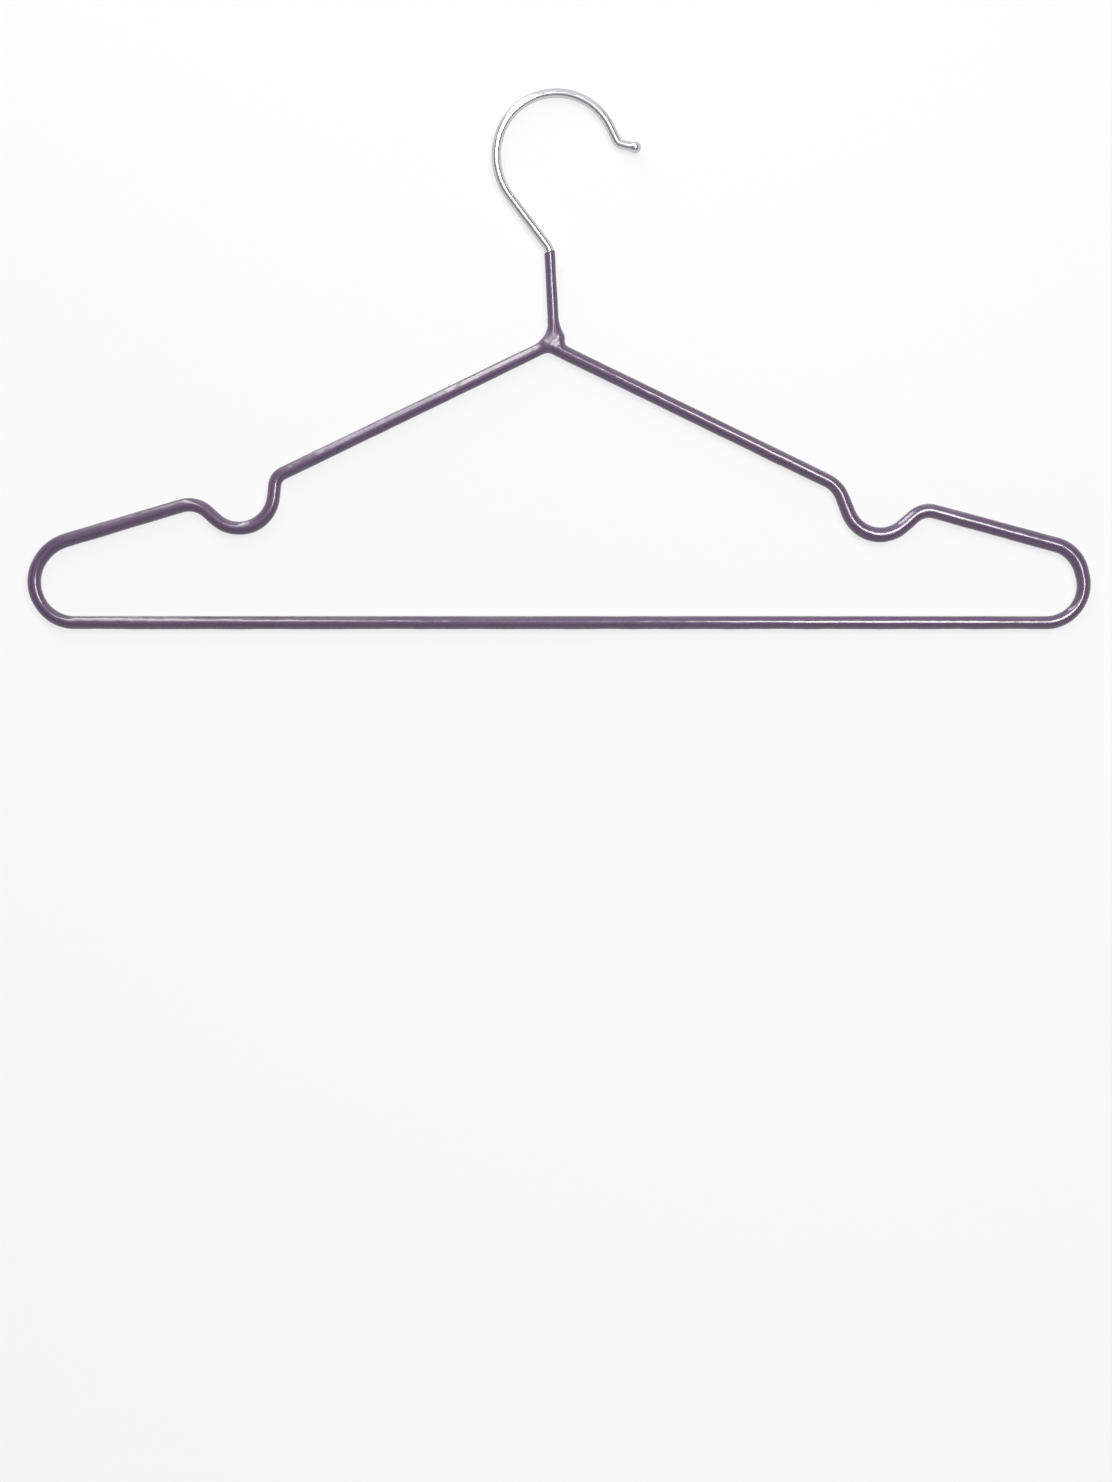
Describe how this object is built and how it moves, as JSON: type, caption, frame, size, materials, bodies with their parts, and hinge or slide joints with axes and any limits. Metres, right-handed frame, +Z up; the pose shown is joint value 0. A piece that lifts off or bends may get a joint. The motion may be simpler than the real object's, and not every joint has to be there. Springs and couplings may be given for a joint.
{
  "type": "trouser hanger",
  "caption": "Dipped wire trouser hanger with a plated ball-tipped hook, notched shoulders, round ends and a straight bar for folded trousers.",
  "frame": {"origin": "the highest point of the inner side of the hook's crown, where a rail bears", "axes": "+X to the right along the bar, towards the side where the hook is open; +Y away from the viewer, square to the hanger's plane; +Z up"},
  "size_m": [0.4004, 0.0058, 0.2035],
  "materials": {
    "chrome_hook": "bright plated drawn wire",
    "bare_steel": "bare drawn wire, hidden under the coat",
    "weld_steel": "dark weld metal, hidden under the coat",
    "purple_pvc": "soft semi-gloss dipped PVC, slightly uneven"
  },
  "bodies": {
    "root": {"hook": "chrome_hook", "frame_wire": "bare_steel", "neck_weld": "weld_steel", "pvc_coat": "purple_pvc"}
  },
  "joints": []
}
